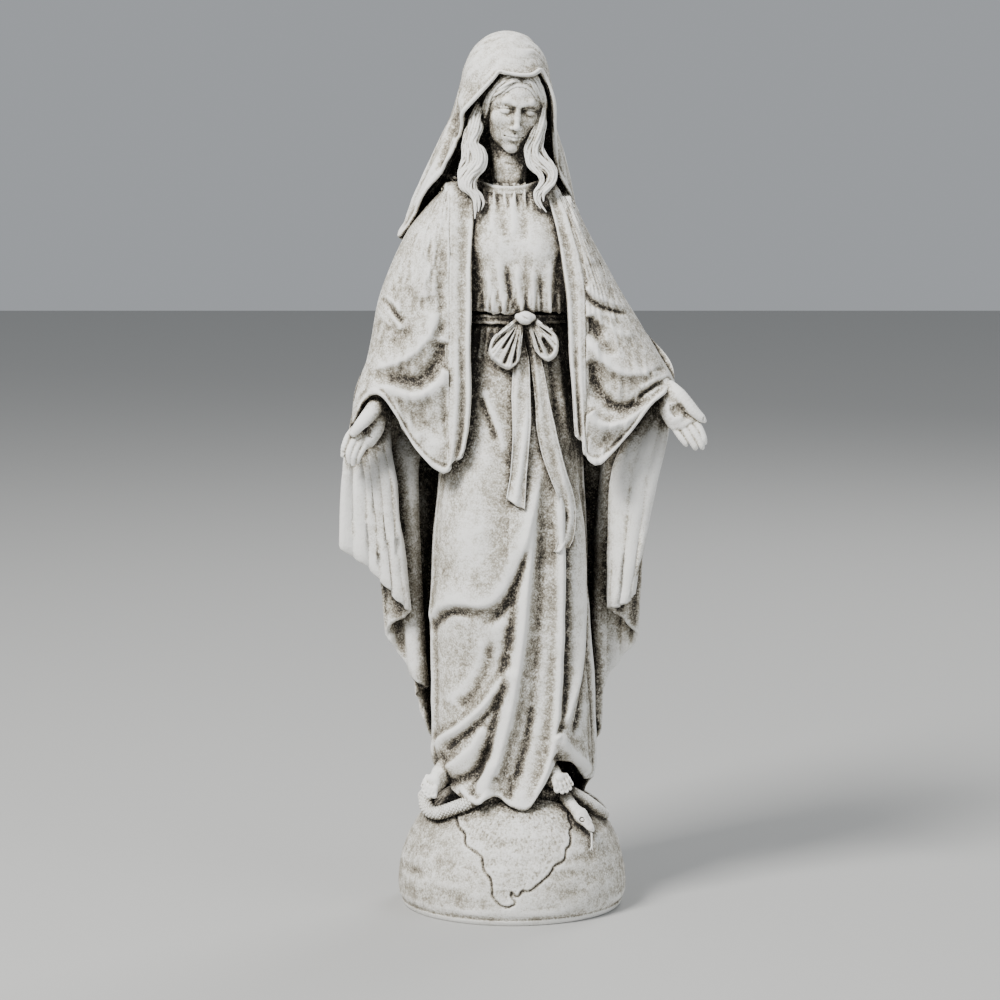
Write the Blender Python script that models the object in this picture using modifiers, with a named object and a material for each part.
"""Garden statue of a veiled standing Madonna on a half globe with a serpent.

Stone-filled resin castings bonded and pinned together on a hollow globe that takes sand ballast.
Blender 4.5, metres, +Z up. The origin is the middle of the underside. The figure faces -Y, so her
left side is +X. Lengths below are in millimetres, and mm() turns them into metres.
"""

import math

import bmesh
import bpy
import numpy as np
from mathutils import Matrix, Vector

# ---------------------------------------------------------------- driving dimensions, millimetres
HEIGHT = 610.0            # floor to the crown of the veil
GLOBE_R = 80.0            # outer radius of the half globe
GLOBE_Z = 15.0            # height of the globe's centre
GLOBE_WALL = 7.0
GLOBE_BORE_R = 4.0        # hole in the globe's crown for the tie rod
PLATE_R = 66.0            # closing plate glued into the underside
PLATE_T = 5.0
FILL_R = 11.0             # sand fill hole in the plate
FILL_Y = 34.0
PLUG_RECESS = 1.2
GAP = 0.35                # clearance between castings that touch
CLOTH = 4.0               # thickness of the mantle's free sheets
SHELL = 6.0               # casting wall of the gown
SERPENT_R = 4.4
SERPENT_PATH_R = GLOBE_R + SERPENT_R + 0.7
ROD_R = 3.0
ROD_TOP = 490.0
BULKHEAD = (470.0, 480.0)   # heights of the web in the shoulders that takes the tie rod
PIN_R = 1.6

VEIL_TOP = Vector((-4.0, -6.0, HEIGHT))
HEAD_C = Vector((0.5, -17.0, 560.0))
HEAD_R = Vector((21.5, 26.0, 32.0))
NECK_BASE = Vector((-3.5, -10.0, 500.0))

# ---------------------------------------------------------------- scene, materials, helpers


def clear_scene():
    for obj in list(bpy.data.objects):
        bpy.data.objects.remove(obj, do_unlink=True)


def collection(name):
    made = bpy.data.collections.new(name)
    bpy.context.scene.collection.children.link(made)
    return made


def material(name, colour, roughness, metallic=0.0):
    made = bpy.data.materials.new(name)
    made.use_nodes = True
    shader = made.node_tree.nodes["Principled BSDF"]
    shader.inputs["Base Color"].default_value = (*colour, 1.0)
    shader.inputs["Roughness"].default_value = roughness
    shader.inputs["Metallic"].default_value = metallic
    return made


clear_scene()
PARTS = collection("madonna_statue")
CUTTERS = collection("cutters")
STONE = material("aged_cast_stone", (0.62, 0.60, 0.53), 0.85)
STONE_BASE = material("aged_cast_stone_base", (0.56, 0.54, 0.48), 0.88)
STEEL = material("zinc_plated_steel", (0.60, 0.61, 0.63), 0.35, 1.0)
RUBBER = material("black_rubber", (0.03, 0.03, 0.03), 0.7)


def mm(point):
    return Vector(point) * 0.001


def add_object(name, mesh, look, where=PARTS):
    obj = bpy.data.objects.new(name, mesh)
    where.objects.link(obj)
    if look:
        own = look.copy()
        own.name = f"{name}_{look.name}"
        mesh.materials.append(own)
    return obj


def finish_mesh(name, bm, look, where=PARTS):
    """Makes a mesh object from bm with its faces pointing out, shaded smooth with sharp creases."""
    bmesh.ops.recalc_face_normals(bm, faces=bm.faces)
    if bm.calc_volume(signed=True) < 0:
        bmesh.ops.reverse_faces(bm, faces=bm.faces)
    mesh = bpy.data.meshes.new(name)
    bm.to_mesh(mesh)
    bm.free()
    mesh.shade_smooth()
    mesh.set_sharp_from_angle(angle=math.radians(40))
    return add_object(name, mesh, look, where)


def grid_faces(bm, rows, ring=False):
    """Quads between successive rows of bmesh vertices; ring closes each row on itself."""
    for low, high in zip(rows, rows[1:]):
        count = len(low)
        for i in range(count if ring else count - 1):
            j = (i + 1) % count
            bm.faces.new((low[i], low[j], high[j], high[i]))


def loft(name, rings, look=STONE, where=PARTS):
    """Closed solid through rings with equal point counts, capped at both ends."""
    bm = bmesh.new()
    rows = [[bm.verts.new(mm(p)) for p in ring] for ring in rings]
    grid_faces(bm, rows, ring=True)
    bm.faces.new(rows[0][::-1])
    bm.faces.new(rows[-1])
    return finish_mesh(name, bm, look, where)


def shell(name, rows, thickness, look=STONE, ring=False, apex=None, offset=0.0):
    """Open surface through rows of points, made a closed wall by Solidify."""
    bm = bmesh.new()
    made = [[bm.verts.new(mm(p)) for p in row] for row in rows]
    grid_faces(bm, made, ring)
    if apex is not None:
        tip = bm.verts.new(mm(apex))
        top = made[-1]
        for i, vert in enumerate(top):
            bm.faces.new((vert, top[(i + 1) % len(top)], tip))
    obj = finish_mesh(name, bm, look)
    wall = obj.modifiers.new("wall", "SOLIDIFY")
    wall.thickness = thickness * 0.001
    wall.offset = offset
    wall.use_even_offset = True
    wall.use_quality_normals = True
    return obj


def turned(name, profile, steps, look):
    """A profile of (radius, height) that runs down its outer side, turned about the Z axis."""
    bm = bmesh.new()
    verts = [bm.verts.new(mm((r, 0, z))) for r, z in profile]
    for a, b in zip(verts, verts[1:] + verts[:1]):
        bm.edges.new((a, b))
    mesh = bpy.data.meshes.new(name)
    bm.to_mesh(mesh)
    bm.free()
    obj = add_object(name, mesh, look)
    screw = obj.modifiers.new("turn", "SCREW")
    screw.axis = "Z"
    screw.steps = screw.render_steps = steps
    screw.use_merge_vertices = True
    screw.merge_threshold = 0.00005
    screw.use_smooth_shade = True
    return obj


def tube(name, points, radii, look=STONE, resolution=2, where=PARTS):
    """A round rod of changing radius along points, as a closed mesh."""
    curve = bpy.data.curves.new(name, "CURVE")
    curve.dimensions = "3D"
    curve.bevel_depth = 0.001
    curve.bevel_resolution = resolution
    curve.use_fill_caps = True
    spline = curve.splines.new("POLY")
    spline.points.add(len(points) - 1)
    for knot, point, radius in zip(spline.points, points, radii):
        knot.co = (*mm(point), 1.0)
        knot.radius = radius
    guide = bpy.data.objects.new(name + "_guide", curve)
    where.objects.link(guide)
    bpy.context.view_layer.update()
    graph = bpy.context.evaluated_depsgraph_get()
    mesh = bpy.data.meshes.new_from_object(guide.evaluated_get(graph))
    bpy.data.objects.remove(guide)
    bm = bmesh.new()
    bm.from_mesh(mesh)
    bmesh.ops.remove_doubles(bm, verts=bm.verts, dist=0.00001)
    return finish_mesh(name, bm, look, where)


def ball(name, centre, radii, look=STONE, turn=None, where=PARTS, segments=16, rings=10):
    """An ellipsoid; turn is a rotation matrix about its centre."""
    bm = bmesh.new()
    bmesh.ops.create_uvsphere(bm, u_segments=segments, v_segments=rings, radius=1.0)
    frame = Matrix.Translation(mm(centre)) @ (turn.to_4x4() if turn else Matrix.Identity(4))
    bm.transform(frame @ Matrix.Diagonal((*mm(radii), 1.0)))
    return finish_mesh(name, bm, look, where)


def rod(name, start, end, radius, look=STEEL, sides=16, where=PARTS):
    """A straight cylinder between two points."""
    start, end = mm(start), mm(end)
    bm = bmesh.new()
    bmesh.ops.create_cone(
        bm, cap_ends=True, segments=sides, radius1=radius * 0.001, radius2=radius * 0.001,
        depth=(end - start).length,
    )
    turn = (end - start).to_track_quat("Z", "Y").to_matrix().to_4x4()
    bm.transform(Matrix.Translation((start + end) / 2) @ turn)
    return finish_mesh(name, bm, look, where)


def baked(obj):
    """The object's evaluated mesh as new bmesh."""
    bpy.context.view_layer.update()
    graph = bpy.context.evaluated_depsgraph_get()
    mesh = bpy.data.meshes.new_from_object(obj.evaluated_get(graph))
    bm = bmesh.new()
    bm.from_mesh(mesh)
    bpy.data.meshes.remove(mesh)
    return bm


def apply_modifiers(obj):
    bm = baked(obj)
    obj.modifiers.clear()
    bm.to_mesh(obj.data)
    bm.free()


def boolean(obj, other, operation):
    step = obj.modifiers.new(operation.lower() + "_" + other.name, "BOOLEAN")
    step.operation = operation
    step.object = other
    step.solver = "EXACT"
    apply_modifiers(obj)


def grown(obj, gap):
    """A hidden cutter with the object's shape, grown by gap along its normals."""
    bm = baked(obj)
    bmesh.ops.remove_doubles(bm, verts=bm.verts, dist=0.0003)
    bmesh.ops.dissolve_degenerate(bm, dist=0.0002, edges=bm.edges)
    bmesh.ops.triangulate(bm, faces=bm.faces)
    bmesh.ops.recalc_face_normals(bm, faces=bm.faces)
    moves = {vert: vert.normal * min(1.5, vert.calc_shell_factor()) * gap * 0.001 for vert in bm.verts}
    for vert, move in moves.items():
        vert.co += move
    mesh = bpy.data.meshes.new(obj.name + "_cutter")
    bm.to_mesh(mesh)
    bm.free()
    cutter = add_object(obj.name + "_cutter", mesh, None, CUTTERS)
    cutter.hide_render = True
    cutter.display_type = "WIRE"
    return cutter


def trim(obj, *neighbours, gap=GAP):
    """Cuts the neighbours out of obj, leaving the gap between them."""
    for other in neighbours:
        boolean(obj, grown(other, gap), "DIFFERENCE")


def join(obj, *others):
    for other in others:
        boolean(obj, other, "UNION")
        bpy.data.objects.remove(other)


def keep_largest(obj):
    """Drops the loose chips that a cut leaves, so that the casting is one body."""
    bm = bmesh.new()
    bm.from_mesh(obj.data)
    left, groups = set(bm.verts), []
    while left:
        stack, group = [left.pop()], []
        while stack:
            vert = stack.pop()
            group.append(vert)
            for edge in vert.link_edges:
                far = edge.other_vert(vert)
                if far in left:
                    left.remove(far)
                    stack.append(far)
        groups.append(group)
    groups.sort(key=len)
    for group in groups[:-1]:
        bmesh.ops.delete(bm, geom=group, context="VERTS")
    bm.to_mesh(obj.data)
    bm.free()


def keyed(keys, z):
    """Value at height z read from a dict of height to value or values, along straight lines."""
    heights = sorted(keys)
    values = np.array([keys[h] for h in heights], float)
    if values.ndim == 1:
        return float(np.interp(z, heights, values))
    return [float(np.interp(z, heights, column)) for column in values.T]


def smoothstep(low, high, value):
    t = min(1.0, max(0.0, (value - low) / (high - low)))
    return t * t * (3 - 2 * t)


def smooth_path(points, count):
    """count points on a Catmull-Rom curve through points."""
    knots = [np.array(p, float) for p in points]
    knots = [2 * knots[0] - knots[1], *knots, 2 * knots[-1] - knots[-2]]
    spans, found = len(points) - 1, []
    for i in range(count):
        s = i / (count - 1) * spans
        k = min(int(s), spans - 1)
        t = s - k
        a, b, c, d = knots[k:k + 4]
        found.append(Vector(0.5 * (
            2 * b + (c - a) * t + (2 * a - 5 * b + 4 * c - d) * t * t
            + (3 * b - a - 3 * c + d) * t ** 3
        )))
    return found


# ---------------------------------------------------------------- globe and ballast closure


def make_globe():
    steps = [math.radians(a) for a in range(0, 91, 9)]
    inner_r = GLOBE_R - GLOBE_WALL
    start = math.asin(GLOBE_BORE_R / GLOBE_R)
    outer = [(GLOBE_R * math.sin(a), GLOBE_Z + GLOBE_R * math.cos(a)) for a in steps if a > start]
    outer.insert(0, (GLOBE_BORE_R, GLOBE_Z + GLOBE_R * math.cos(start)))
    skirting = [(79.2, 7.0), (77.0, 2.0), (75.5, 0.0)]
    ledge_r = PLATE_R + GAP
    seat = [(ledge_r, 0.0), (ledge_r, PLATE_T + GAP), (ledge_r - 3.0, PLATE_T + GAP)]
    inner = [
        (inner_r * math.sin(a), GLOBE_Z + inner_r * math.cos(a)) for a in reversed(steps[1:-1:2])
    ]
    inner = [(r, z) for r, z in inner if z > PLATE_T + 12.0]
    inner.append((GLOBE_BORE_R, GLOBE_Z + inner_r))
    return turned("globe_shell", outer + skirting + seat + inner, 36, STONE_BASE)


def make_closure():
    plate = rod("base_plate", (0, 0, 0), (0, 0, PLATE_T), PLATE_R, STONE_BASE, sides=48)
    cut = rod("fill_hole", (0, FILL_Y, -5), (0, FILL_Y, 15), FILL_R, None, 24, CUTTERS)
    cut.hide_render = True
    cut.display_type = "WIRE"
    boolean(plate, cut, "DIFFERENCE")
    body_r = FILL_R - GAP
    profile = [(0.0, 11.0), (body_r - 1.2, 11.0), (body_r, 9.6), (body_r, PLUG_RECESS + 0.6),
               (body_r - 0.6, PLUG_RECESS), (0.0, PLUG_RECESS)]
    plug = turned("fill_plug", profile, 24, RUBBER)
    apply_modifiers(plug)
    plug.location = mm((0, FILL_Y, 0))
    return plate, plug


# ---------------------------------------------------------------- serpent round the globe


def on_globe(azimuth, polar, radius=SERPENT_PATH_R):
    """A point over the globe; azimuth 0 is the front, growing towards +X; polar 0 is the crown."""
    a, p = math.radians(azimuth), math.radians(polar)
    return Vector((
        radius * math.sin(p) * math.sin(a),
        -radius * math.sin(p) * math.cos(a),
        GLOBE_Z + radius * math.cos(p),
    ))


def make_serpent():
    ring = [(150, 43), (190, 45), (230, 46), (265, 47), (285, 46), (299, 47), (309, 49),
            (321, 49), (334, 46), (348, 44), (2, 44), (14, 45), (26, 43)]
    centres = smooth_path([on_globe(a, p) for a, p in unwrap(ring)], 40)
    radii = [SERPENT_R * (0.35 + 0.65 * smoothstep(0, 12, i)) for i in range(40)]
    body = tube("serpent_body", centres, radii)
    loop = [(40, 43), (50, 47), (61, 52), (72, 51), (88, 47), (105, 45), (122, 43)]
    coil = smooth_path([on_globe(a, p) for a, p in loop], 18)
    taper = [SERPENT_R * (1.0 - 0.5 * smoothstep(11, 17, i)) for i in range(18)]
    coil = tube("serpent_coil", coil, taper)
    neck_line = [(33, 47), (37, 51), (40.5, 55), (43, 58)]
    neck = tube("serpent_head", smooth_path([on_globe(a, p) for a, p in neck_line], 8),
                [4.0, 4.0, 3.9, 3.9, 4.0, 4.1, 4.2, 4.2])
    skull_c = on_globe(44.5, 60.5, SERPENT_PATH_R + 1.2)
    snout_c = on_globe(48.5, 66.0, SERPENT_PATH_R + 1.0)
    turn = (snout_c - skull_c).to_track_quat("Y", "Z").to_matrix()
    skull = ball("skull", skull_c, (6.0, 8.0, 4.6), turn=turn, segments=14, rings=8)
    snout = ball("snout", snout_c, (3.6, 6.0, 3.0), turn=turn, segments=12, rings=8)
    jaw_c = on_globe(46.0, 69.5, SERPENT_PATH_R - 0.6)
    jaw = tube("jaw", [skull_c, jaw_c, on_globe(46.5, 73.5, SERPENT_PATH_R - 1.0)], [3.4, 2.6, 1.2])
    join(neck, skull, snout, jaw)
    return body, coil, neck


def unwrap(ring):
    """Azimuths made to grow without a jump at 360."""
    found, last = [], ring[0][0]
    for azimuth, polar in ring:
        while azimuth < last - 180:
            azimuth += 360
        found.append((azimuth, polar))
        last = azimuth
    return found


# ---------------------------------------------------------------- the gown


SKIRT = {  # height: middle x, half width, front y, back y
    72: (1, 48, -46, 28), 84: (1, 53, -50, 30), 97: (0.5, 57, -51, 32), 125: (0, 56.5, -52, 33),
    165: (-0.5, 56, -53, 34), 207: (-2, 54, -56, 34), 255: (-2, 51, -52, 32),
    305: (-1, 48, -47, 30), 355: (1, 43, -42, 27), 395: (3, 36, -36, 24), 414: (4, 34, -34, 23),
}
BODICE = {
    418: (4.5, 37, -40, 25), 428: (4.5, 39, -43, 26), 445: (4, 40, -45, 28), 465: (3, 40, -44, 29),
    482: (1, 39, -38, 28), 496: (-1, 33, -29, 24), 504: (-2.5, 23, -23, 15), 508: (-3, 19.5, -21, 9),
}
FRONT_POWER = 2.2


def body_ring(keys, z, count=24, inset=0.0):
    """A rounded outline at height z with its own front and back depth."""
    middle, half, front, back = keyed(keys, z)
    half, front, back = half - inset, front + inset, back - inset
    ring = []
    for i in range(count):
        a = 2 * math.pi * i / count
        c, s = math.cos(a), math.sin(a)
        c, s = (math.copysign(abs(v) ** (2 / FRONT_POWER), v) for v in (c, s))
        ring.append(Vector((middle + half * c, (back if s > 0 else -front) * s, z)))
    return ring


def make_gown(feet, snakes):
    heights = [72, 84, 97, 125, 165, 207, 255, 305, 355, 395, 408.5]
    skirt = shell("gown_skirt", [body_ring(SKIRT, z) for z in heights], SHELL, ring=True, offset=-1.0)
    apply_modifiers(skirt)
    globe_cut = ball("globe_cut", (0, 0, GLOBE_Z), (GLOBE_R + 1.1,) * 3, None, None, CUTTERS, 32, 20)
    globe_cut.hide_render = True
    boolean(skirt, globe_cut, "DIFFERENCE")
    trim(skirt, *feet, *snakes, gap=0.5)
    keep_largest(skirt)
    heights = [417.6, 422, 428, 445, 465, 482, 496, 506]
    bodice = shell("gown_bodice", [body_ring(BODICE, z) for z in heights], SHELL, ring=True, offset=-1.0)
    apply_modifiers(bodice)
    return skirt, bodice


def ring_band(name, keys, z, half_height, outside, inside, count=36):
    """A band around the body at height z."""
    corners = [(outside, half_height), (outside, -half_height), (-inside, -half_height), (-inside, half_height)]
    bm = bmesh.new()
    rows = [
        [bm.verts.new(mm(p + Vector((0, 0, rise)))) for p in body_ring(keys, z, count, -grow)]
        for grow, rise in corners
    ]
    grid_faces(bm, rows + rows[:1], ring=True)
    return finish_mesh(name, bm, STONE)


def front_y(keys, x, z):
    """Depth of the body's front surface at x and height z."""
    middle, half, front, _ = keyed(keys, z)
    share = min(0.999, abs(x - middle) / half)
    return front * (1 - share ** FRONT_POWER) ** (1 / FRONT_POWER)


# ---------------------------------------------------------------- the sash


def ribbon(name, line, widths, keys, lift, thickness=2.6):
    """A flat ribbon that lies over the gown: line holds (x, z), and widths its half widths."""
    rows = []
    centres = smooth_path([(x, 0, z) for x, z in line], 12)
    halves = np.interp(np.linspace(0, 1, 12), np.linspace(0, 1, len(widths)), widths)
    for point, half in zip(centres, halves):
        row = []
        for side in (-1, 0, 1):
            x = point.x + side * half
            row.append(Vector((x, front_y(keys, x, point.z) - lift - (0.8 if side == 0 else 0), point.z)))
        rows.append(row)
    return shell(name, rows, thickness)


def make_sash():
    """The waistband, the knot, the two loops and the two hanging tails of the bow."""
    band = ring_band("sash_waistband", {414: keyed(SKIRT, 410), 413: keyed(SKIRT, 410)}, 413.4, 3.2, 1.6, 3.4)
    knot_at = Vector((8.5, -44.2, 415.0))
    knot = ball("bow_knot", knot_at, (5.6, 4.2, 5.0), segments=12, rings=8)
    loops = []
    for name, side, reach, drop in (("bow_loop_right", -1, 18.5, -25), ("bow_loop_left", 1, 18.0, -22)):
        turn = Matrix.Rotation(side * math.radians(36 if side < 0 else 46), 3, "Y")
        centre = knot_at + Vector((side * reach * 0.62, 0.6, drop * 0.62))
        loop = ball(name, centre, (8.5, 4.0, 13.5), turn=turn, segments=12, rings=8)
        hole = ball(name + "_eye", centre + Vector((0, 0, -1.5)), (4.2, 9.0, 7.0), None, turn, CUTTERS, 10, 6)
        hole.hide_render = True
        hole.display_type = "WIRE"
        boolean(loop, hole, "DIFFERENCE")
        loops.append(loop)
    short = ribbon("sash_tail_right", [(7, 411), (4, 385), (4.5, 360), (4, 340), (3.5, 320), (2.5, 303), (2.5, 289)],
                   [2.5, 4.5, 6.0, 6.2, 5.6, 5.4, 5.8], SKIRT, 2.6)
    long = ribbon("sash_tail_left", [(10.5, 411), (15, 385), (18.5, 360), (22, 336), (28, 310), (34, 290), (36, 268)],
                  [2.5, 4.0, 5.5, 7.0, 6.0, 5.5, 5.5], SKIRT, 3.4)
    for tail in (short, long):
        apply_modifiers(tail)
    trim(short, knot, *loops)
    trim(long, knot, short, *loops)
    for loop in loops:
        trim(loop, knot, band)
    trim(loops[1], loops[0])
    for tail in (short, long, *loops):
        trim(tail, band)
        keep_largest(tail)
    trim(knot, band)
    keep_largest(knot)
    return [band, knot, *loops, short, long]


# ---------------------------------------------------------------- the mantle


LEFT, RIGHT = 1, -1       # her left is +X
OUTLINE = {               # height: reach of the mantle to her right and left, and depth of its edge
    335: (-112.5, 112.0, -16), 350: (-110.5, 112.5, -15), 362: (-108, 114.0, -13), 372: (-105, 112.0, -10),
    383: (-101, 104.5, -7), 400: (-97.5, 94.5, -3), 413: (-95.5, 87, 0), 424: (-93.5, 80, 1),
    435: (-90, 73.5, 2), 455: (-82, 62.5, 4), 475: (-72, 51.5, 5), 492: (-58, 43.5, 5), 504: (-46, 36, 4),
}
BACK_Y = {90: 40, 150: 45, 250: 49, 350: 47, 420: 44, 480: 40, 506: 33}
# Each pleat line of the back panel: x and y at the hem, x and y 130 mm up, and the hem's height.
PLEATS_RIGHT = [
    (-119, -15, -114, -18, 254), (-104, -13, -105, -17, 244), (-91, -13, -98, -17, 232),
    (-79, -14, -91, -17, 219), (-74, -11, -86, -13, 212), (-80, -2, -90, -4, 202),
    (-88, 7, -98, 2, 190), (-84, 13, -96, 9, 180), (-74, 14, -84, 12, 166),
    (-64, 11, -72, 9, 153), (-62, 17, -70, 18, 142), (-65, 24, -74, 26, 128),
    (-57, 30, -66, 35, 110), (-40, 37, -48, 43, 101), (-20, 40, -25, 47, 98),
]
PLEATS_LEFT = [
    (20, 40, 24, 47, 98), (40, 37, 44, 43, 99), (57, 28, 60, 34, 102), (58, 20, 62, 24, 124),
    (60, 14, 64, 15, 148), (68, 17, 72, 14, 162), (80, 17, 84, 13, 175), (89, 9, 92, 6, 187),
    (84, 1, 86, -1, 196), (74, -4, 75, -5, 208), (68, -10, 69, -12, 211), (73, -16, 85, -18, 212),
    (78, -17, 98, -19, 216), (82, -16, 109, -18, 221),
]


def mantle_line(hem_x, hem_y, high_x, high_y, hem_z, share):
    """One pleat of the back panel from its hem to the shoulder line. share runs 0 to 1 around it."""
    points = []
    top = 505.0
    rows = 10
    for i in range(rows):
        z = hem_z + (top - hem_z) * i / (rows - 1)
        rise = (z - hem_z) / 130.0
        low = Vector((hem_x + (high_x - hem_x) * rise, hem_y + (high_y - hem_y) * rise, z))
        right, left, edge_y = keyed(OUTLINE, z)
        angle = math.pi * share
        middle, half = (left + right) / 2, (left - right) / 2 - CLOTH / 2
        swing = math.sin(angle) ** 0.8
        high = Vector((middle - half * math.cos(angle), edge_y + GAP + (keyed(BACK_Y, z) - edge_y) * swing, z))
        mix = smoothstep(300, 372, z)
        points.append(low.lerp(high, mix))
    return points


def make_mantle_back():
    pleats = PLEATS_RIGHT + PLEATS_LEFT
    columns = [mantle_line(*pleat, i / (len(pleats) - 1)) for i, pleat in enumerate(pleats)]
    rows = [[column[r] for column in columns] for r in range(len(columns[0]))]
    back = shell("mantle_back", rows, CLOTH)
    apply_modifiers(back)
    return back


DRAPE_RIGHT = [(-44.5, 311), (-55, 317), (-65, 328), (-73, 341), (-82, 355), (-91, 363), (-98, 362),
               (-105, 352), (-109.5, 343)]
DRAPE_LEFT = [(52, 318), (61, 316), (70, 325), (80, 337), (90, 349), (100, 361), (107, 366), (112, 370)]
DRAPE_FRONT = {300: -47, 345: -46, 375: -45, 410: -43, 450: -38, 480: -31, 506: -20}


def drape_y(x, z, side):
    """Depth of the front drape between its band and its outline."""
    right, left, edge_y = keyed(OUTLINE, z)
    reach = right if side == RIGHT else left
    inner = 40.0 * side
    share = min(1.0, max(0.0, (x - inner) / (reach - inner)))
    front = keyed(DRAPE_FRONT, z)
    return edge_y - 2.0 + (front - edge_y) * (1 - share ** 2.4) ** (1 / 2.4)


def make_drape(name, side, hem, inner):
    """A front drape. hem holds its points from the border to the outline, inner its inner edge."""
    columns, rows_count = 12, 9
    low = smooth_path([(x, 0, z) for x, z in hem], columns)
    rows = []
    for r in range(rows_count):
        v = r / (rows_count - 1)
        row = []
        for i, start in enumerate(low):
            top = 503.0
            z = start.z + (top - start.z) * v
            reach = keyed(OUTLINE, z)[0 if side == RIGHT else 1] - side * 1.5
            near = keyed(inner, z)
            x = near + (reach - near) * i / (columns - 1)
            x = start.x + (x - start.x) * smoothstep(0.0, 0.25, v)
            row.append(Vector((x, drape_y(x, z, side), z)))
        rows.append(row)
    return shell(name, rows, CLOTH)


def make_band(name, inner, outer, heights):
    """The mantle's front border, from the shoulder to the tip of the drape."""
    rows = []
    for z in heights:
        a, b = keyed(inner, z), keyed(outer, z)
        y = keyed(DRAPE_FRONT, z) - 2.6
        rows.append([Vector((a, y + 1.6, z)), Vector(((a + b) / 2, y - 0.6, z)), Vector((b, y + 0.8, z))])
    return shell(name, rows, CLOTH)


BORDER_LEFT = {312: 52, 435: 51.5, 460: 46, 480: 40, 494: 35, 503: 30}


def make_mantle_front(neighbours):
    drape_right = make_drape("mantle_drape_right", RIGHT, DRAPE_RIGHT, {311: -44.5, 503: -44.5})
    drape_left = make_drape("mantle_drape_left", LEFT, DRAPE_LEFT, BORDER_LEFT)
    heights = [312, 318, 326, 340, 360, 385, 410, 435, 460, 480, 494, 502]
    band_right = make_band(
        "mantle_band_right",
        {312: -39, 318: -35, 326: -32, 340: -29, 360: -28, 410: -27, 460: -27, 502: -25},
        {312: -42.5, 318: -42.5, 326: -42.5, 340: -42.5, 385: -42.5, 410: -42.5, 502: -42.5}, heights)
    band_left = make_band(
        "mantle_band_left",
        {312: 47, 318: 46, 326: 45, 340: 43.5, 360: 41.5, 385: 39.5, 410: 38, 435: 35.5, 460: 32, 480: 28, 494: 25, 502: 22},
        {312: 50, 435: 49.5, 460: 44, 480: 38, 494: 33, 502: 28.5}, heights)
    made = [drape_right, drape_left, band_right, band_left]
    for obj in made:
        apply_modifiers(obj)
    trim(drape_right, band_right)
    trim(drape_left, band_left)
    for obj in made:
        trim(obj, *neighbours)
        keep_largest(obj)
    return made


# ---------------------------------------------------------------- arms and hands


WRIST = {RIGHT: Vector((-92.5, -29.0, 354.0)), LEFT: Vector((106.5, -29.0, 363.0))}
ELBOW = {RIGHT: Vector((-77.0, -10.0, 413.0)), LEFT: Vector((71.0, -9.0, 411.0))}
SHOULDER = {RIGHT: Vector((-56.0, -4.0, 458.0)), LEFT: Vector((53.0, -4.0, 446.0))}
REACH = {RIGHT: Vector((-0.42, -0.18, -0.89)), LEFT: Vector((0.46, -0.20, -0.86))}


def make_arm(name, side):
    line = smooth_path([SHOULDER[side], ELBOW[side], WRIST[side]], 9)
    return tube(name, line, list(np.interp(np.linspace(0, 1, 9), [0, 0.5, 1], [8.5, 8.5, 6.5])), resolution=2)


def make_hand(name, side, spread):
    """Palm, four fingers and a thumb, open and held down and outwards."""
    along = REACH[side].normalized()
    across = along.cross(Vector((0, -1, 0))).normalized() * side
    face = across.cross(along).normalized() * side
    start = WRIST[side] + along * 1.0
    palm_c = start + along * 17.0
    turn = Matrix((across, face, along)).transposed()
    palm = ball(name, palm_c, (8.6, 5.0, 14.5), turn=turn, segments=12, rings=8)
    wrist = tube("wrist", [start, palm_c], [6.0, 6.4], resolution=3)
    fingers = [wrist]
    for i, length in enumerate((15.5, 17.5, 16.5, 13.0)):
        shift = (1.5 - i) * 3.9
        root = palm_c + along * 8.0 + across * shift
        tip = root + along * length + across * shift * spread - face * 0.5
        middle = (root + tip) / 2 - face * 1.2
        fingers.append(tube(f"finger_{i}", [root, middle, tip], [2.2, 2.1, 1.6], resolution=1))
    root = palm_c - along * 5.0 + across * 5.0
    middle = root + along * 8.0 + across * 6.0 - face * 2.0
    tip = middle + along * 8.5 + across * 1.5
    fingers.append(tube("thumb", [root, middle, tip], [2.8, 2.6, 1.7], resolution=1))
    join(palm, *fingers)
    return palm


def make_arms():
    made = []
    for side, word, spread in ((RIGHT, "right", 0.10), (LEFT, "left", 0.12)):
        arm = make_arm(f"{word}_arm", side)
        hand = make_hand(f"{word}_hand", side, spread)
        along = REACH[side].normalized()
        upper = (WRIST[side] - ELBOW[side]).normalized()
        pin = rod(f"{word}_wrist_pin", WRIST[side] - upper * 12.0, WRIST[side] + upper * 9.0, PIN_R, sides=10)
        plane = WRIST[side]
        cut = rod("wrist_plane", plane, plane - upper * 60.0, 30.0, None, 12, CUTTERS)
        cut.hide_render = True
        boolean(hand, cut, "DIFFERENCE")
        keep_largest(hand)
        trim(arm, hand)
        keep_largest(arm)
        trim(arm, pin, gap=0.2)
        trim(hand, pin, gap=0.2)
        made.append((arm, hand, pin))
    return made


# ---------------------------------------------------------------- head, hair and veil


def make_head():
    turn = Matrix.Rotation(math.radians(14), 3, "X") @ Matrix.Rotation(math.radians(7), 3, "Y")
    head = ball("head", HEAD_C, HEAD_R, turn=turn)
    jaw = ball("jaw", HEAD_C + Vector((-0.5, -8.0, -15.0)), (15.0, 15.5, 18.0), turn=turn)
    neck = tube("neck", [NECK_BASE, Vector((-2, -12, 522)), Vector((0, -12, 548))], [12.5, 11.8, 13.0], resolution=4)
    join(head, jaw, neck)
    return head


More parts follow.
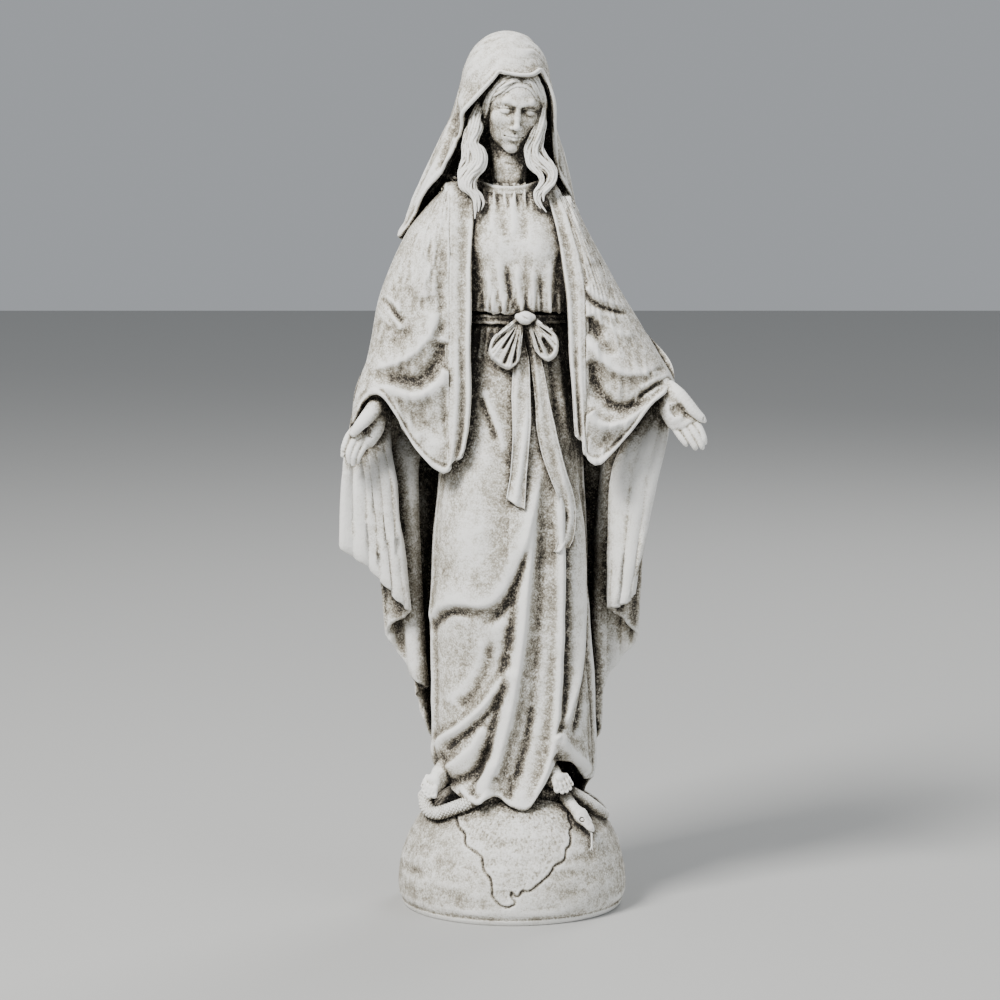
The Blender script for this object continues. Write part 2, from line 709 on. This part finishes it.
def make_hair(head):
    turn = Matrix.Rotation(math.radians(14), 3, "X") @ Matrix.Rotation(math.radians(7), 3, "Y")
    crown = ball("hair_crown", HEAD_C + Vector((0, 2.5, 1.5)), HEAD_R + Vector((2.4, 1.6, 2.0)), turn=turn)
    window = ball("face_window", HEAD_C + Vector((0.5, -30.0, -16.0)), (18.5, 30.0, 32.0), None, turn, CUTTERS, 14, 10)
    window.hide_render = True
    window.display_type = "WIRE"
    whole = grown(crown, GAP)
    boolean(crown, window, "DIFFERENCE")
    trim(crown, head)
    keep_largest(crown)
    locks = []
    lines = {
        "hair_lock_right": [(-24, -16, 560), (-27, -20, 545), (-25, -25, 532), (-24, -29, 524), (-31, -30, 515),
                            (-29, -33, 505), (-24, -36, 494)],
        "hair_lock_left": [(23.5, -17, 556), (21, -20, 545), (17, -25, 532), (19, -30, 523), (24, -30, 515),
                           (20, -33, 504), (22, -36, 493)],
    }
    for name, line in lines.items():
        lock = tube(name, smooth_path(line, 14), list(np.interp(np.linspace(0, 1, 14), [0, 0.3, 0.7, 1], [4.0, 5.5, 6.0, 2.5])), resolution=2)
        locks.append(lock)
    return crown, whole, locks


DOME_C = Vector((-4.0, -6.0, 574.0))
DOME_R = Vector((30.5, 36.0, HEIGHT - 574.0))
# Each fall line of the veil: its direction in degrees from the front towards +X, and its end point.
VEIL_ENDS = [
    (0, (-4, -40.8, 588.5)), (16, (4.5, -40, 589)), (34, (13.5, -37, 590)), (54, (21.5, -31, 587)),
    (70, (27, -25.5, 578)), (81, (31, -22, 566)), (90, (31, -17, 548)), (98, (31, -14, 528)), (106, (33, -12, 512)),
    (114, (42, -8, 497)), (124, (46, 12, 486)), (138, (42, 34, 478)), (155, (26, 45, 473)),
    (180, (-4, 48, 470)), (205, (-32, 46, 468)), (222, (-52, 38, 467)), (236, (-68, 24, 466)),
    (246, (-76, 8, 468)), (254, (-72, -6, 474)), (260, (-60, -14, 500)), (264, (-50, -17, 515)),
    (268, (-40, -19, 528)), (272, (-36.5, -21, 545)), (285, (-34, -25, 562)), (309, (-27.5, -31, 572)),
    (329, (-19.5, -36, 581)), (346, (-10.5, -40, 587)),
]


def make_veil():
    columns = []
    for direction, end in VEIL_ENDS:
        a = math.radians(direction)
        away = Vector((math.sin(a), -math.cos(a), 0))
        end = Vector(end)
        low = math.asin(max(0.0, min(0.95, (end.z - DOME_C.z) / DOME_R.z)))
        dome = []
        for i in range(1, 5):
            e = math.radians(90) + (low - math.radians(90)) * i / 4
            dome.append(DOME_C + Vector((
                DOME_R.x * math.cos(e) * away.x, DOME_R.y * math.cos(e) * away.y, DOME_R.z * math.sin(e))))
        fall = [dome[-1].lerp(end, i / 5) for i in range(1, 6)]
        path = smooth_path([dome[0], dome[1], dome[2], dome[3], fall[2], fall[4]], 9)
        columns.append(path)
    rows = [[column[r] for column in columns] for r in reversed(range(9))]
    veil = shell("veil", rows, 3.0, ring=True, apex=VEIL_TOP, offset=-1.0)
    apply_modifiers(veil)
    return veil


# ---------------------------------------------------------------- tie rod


def make_tie_rod(neck_pin):
    """Threaded rod that clamps the globe to the figure, with the web, nuts and washers it pulls on."""
    crown = GLOBE_Z + GLOBE_R - GLOBE_WALL
    rod("tie_rod", (0, 0, crown - 16), (0, 0, ROD_TOP), ROD_R, sides=12)
    web = loft("shoulder_bulkhead", [body_ring(BODICE, z, 24, SHELL + 0.6) for z in BULKHEAD])
    trim(web, neck_pin, gap=0.2)
    top = BULKHEAD[1]
    pieces = [
        web,
        rod("tie_rod_washer", (0, 0, crown - 3.2), (0, 0, crown - 1.4), 9.0, sides=20),
        rod("tie_rod_nut", (0, 0, crown - 8.8), (0, 0, crown - 3.6), 5.8, sides=6),
        rod("tie_rod_upper_washer", (0, 0, top + 0.4), (0, 0, top + 1.8), 6.8, sides=20),
        rod("tie_rod_upper_nut", (0, 0, top + 2.2), (0, 0, top + 7.2), 5.8, sides=6),
    ]
    for piece in pieces:
        bore = rod("rod_bore", (0, 0, 40), (0, 0, 520), ROD_R + 0.25, None, 16, CUTTERS)
        bore.hide_render = True
        boolean(piece, bore, "DIFFERENCE")


# ---------------------------------------------------------------- feet


def make_feet():
    made = []
    for name, centre, heading, tilt in (
        ("right_foot", (-54.0, -32.0, 86.5), 34, 28), ("left_foot", (33.5, -45.0, 89.5), -20, 20),
    ):
        turn = Matrix.Rotation(math.radians(-heading), 3, "Z") @ Matrix.Rotation(math.radians(tilt), 3, "X")
        made.append(ball(name, centre, (7.4, 13.0, 6.8), turn=turn))
    return made


# ---------------------------------------------------------------- assembly


def main():
    make_globe()
    make_closure()
    snakes = make_serpent()
    feet = make_feet()
    for foot in feet:
        trim(foot, *snakes)
        keep_largest(foot)
    skirt, bodice = make_gown(feet, snakes)
    sash = make_sash()
    back = make_mantle_back()
    arms = make_arms()
    head = make_head()
    crown, whole_crown, locks = make_hair(head)
    veil = make_veil()
    collar = ring_band("gown_collar", BODICE, 506.6, 3.0, 1.4, 2.0, 28)
    for arm, _, _ in arms:
        trim(arm, back, bodice)
        keep_largest(arm)
    fronts = make_mantle_front([bodice, collar, skirt, back] + sash + [a for arm in arms for a in arm[:2]])
    trim(bodice, collar)
    keep_largest(bodice)
    trim(head, collar, bodice)
    keep_largest(head)
    boolean(veil, whole_crown, "DIFFERENCE")
    trim(veil, head, back, bodice, *fronts)
    keep_largest(veil)
    for lock in locks:
        trim(lock, head, crown, veil, bodice, collar, *fronts)
        keep_largest(lock)
    neck_pin = rod("neck_pin", (-3.5, -9.5, 473), (-2.5, -11.5, 520), PIN_R + 0.6, sides=12)
    trim(head, neck_pin, gap=0.2)
    make_tie_rod(neck_pin)


main()
